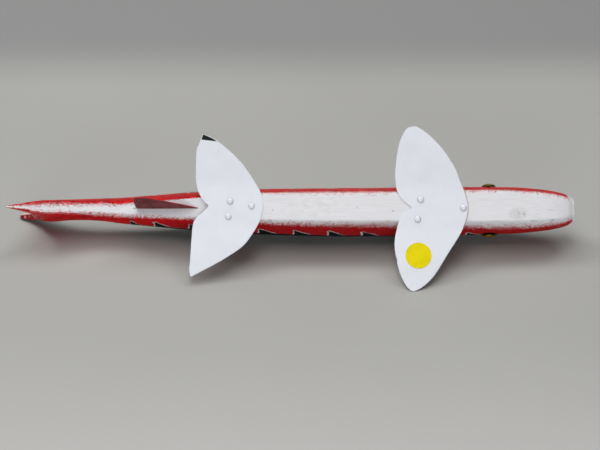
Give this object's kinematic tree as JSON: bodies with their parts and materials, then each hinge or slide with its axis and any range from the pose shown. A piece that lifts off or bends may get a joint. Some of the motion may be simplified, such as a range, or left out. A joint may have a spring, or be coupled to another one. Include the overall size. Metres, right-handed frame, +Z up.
{
  "type": "fish decoy",
  "caption": "Carved, painted wooden fish decoy with a forked tail, nailed sheet metal belly fins, kerfed back and vent fins, brass tack eyes, lead ballast and a line tie.",
  "frame": {"origin": "the middle of the base of the decoy's box as it lies on a flat surface, propped on the left tip of its front fin, its dorsal fin and the upper lobe of its tail", "axes": "+X from tail to nose, +Z up from the surface it lies on, +Y to the side its back faces, so the belly looks towards -Y and up"},
  "size_m": [0.4186, 0.0886, 0.087],
  "materials": {
    "body_paint": "satin",
    "lead": "matte",
    "filler": "matte",
    "white_sheet": "satin",
    "white_nail": "satin",
    "red_sheet": "satin",
    "eye_brass": "polished",
    "tie_steel": "satin",
    "sticker_paper": "matte"
  },
  "bodies": {
    "root": {"body": "body_paint", "ballast": "lead", "ballast_filler": "filler", "front_fin": "white_sheet", "rear_fin": "white_sheet", "front_fin_nail_1": "white_nail", "front_fin_nail_2": "white_nail", "front_fin_nail_3": "white_nail", "rear_fin_nail_1": "white_nail", "rear_fin_nail_2": "white_nail", "rear_fin_nail_3": "white_nail", "dorsal_fin": "red_sheet", "anal_fin": "red_sheet", "left_eye": "eye_brass", "right_eye": "eye_brass", "line_tie": "tie_steel", "sticker": "sticker_paper"}
  },
  "joints": []
}
